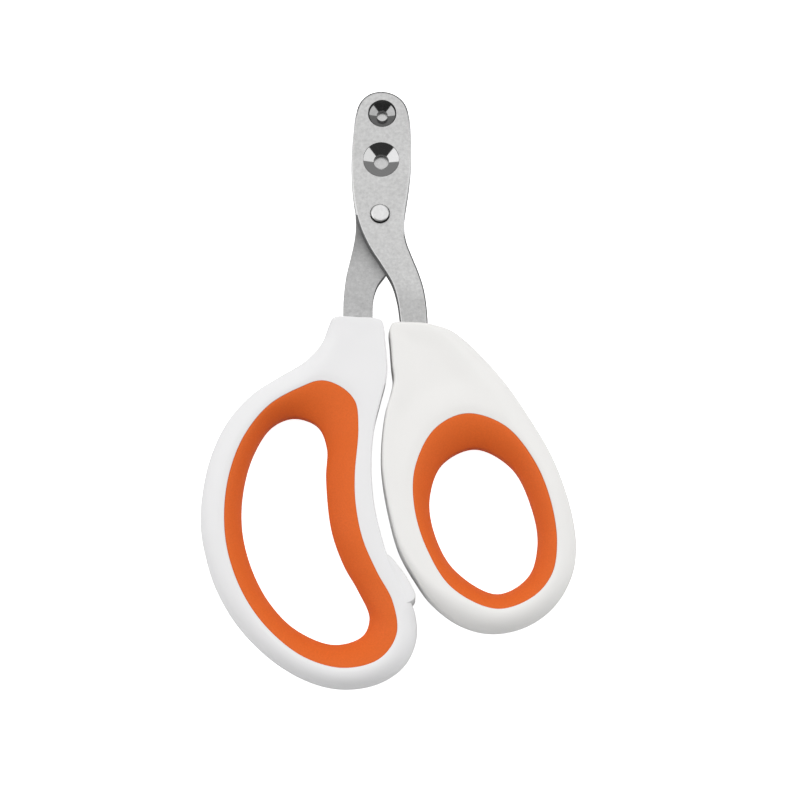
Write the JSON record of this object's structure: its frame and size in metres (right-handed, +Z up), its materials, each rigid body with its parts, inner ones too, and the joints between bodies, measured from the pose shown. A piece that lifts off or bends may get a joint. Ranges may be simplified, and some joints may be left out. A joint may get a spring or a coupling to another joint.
{
  "type": "pet nail trimmer",
  "caption": "Scissor-type pet nail trimmer with riveted steel blades, countersunk claw holes, a two-finger loop, a thumb loop and soft grip liners.",
  "frame": {"origin": "bottom centre of the bounding box, on the surface that the handles lie on", "axes": "+Y along the tool towards the blade tip, +Z up out of the front face, +X towards the thumb loop"},
  "size_m": [0.0758, 0.1254, 0.01],
  "materials": {
    "blade_steel": "stamped stainless steel, tumbled satin faces, ground cones and cutting edge",
    "rivet_steel": "turned stainless steel, smooth domed end",
    "handle_plastic": "white moulded plastic, fine satin texture",
    "grip_rubber": "orange soft-touch moulded rubber, matte"
  },
  "bodies": {
    "left_half": {"rear_blade": "blade_steel", "left_handle": "handle_plastic", "left_grip": "grip_rubber"},
    "right_half": {"front_blade": "blade_steel", "right_handle": "handle_plastic", "right_grip": "grip_rubber", "pivot_rivet": "rivet_steel"}
  },
  "joints": [
    {"name": "pivot", "type": "hinge", "parent": "left_half", "child": "right_half", "pos_m": [-0.00298, 0.0356, 0.005], "axis": [0, 0, 1], "range_deg": [0, 60]}
  ]
}
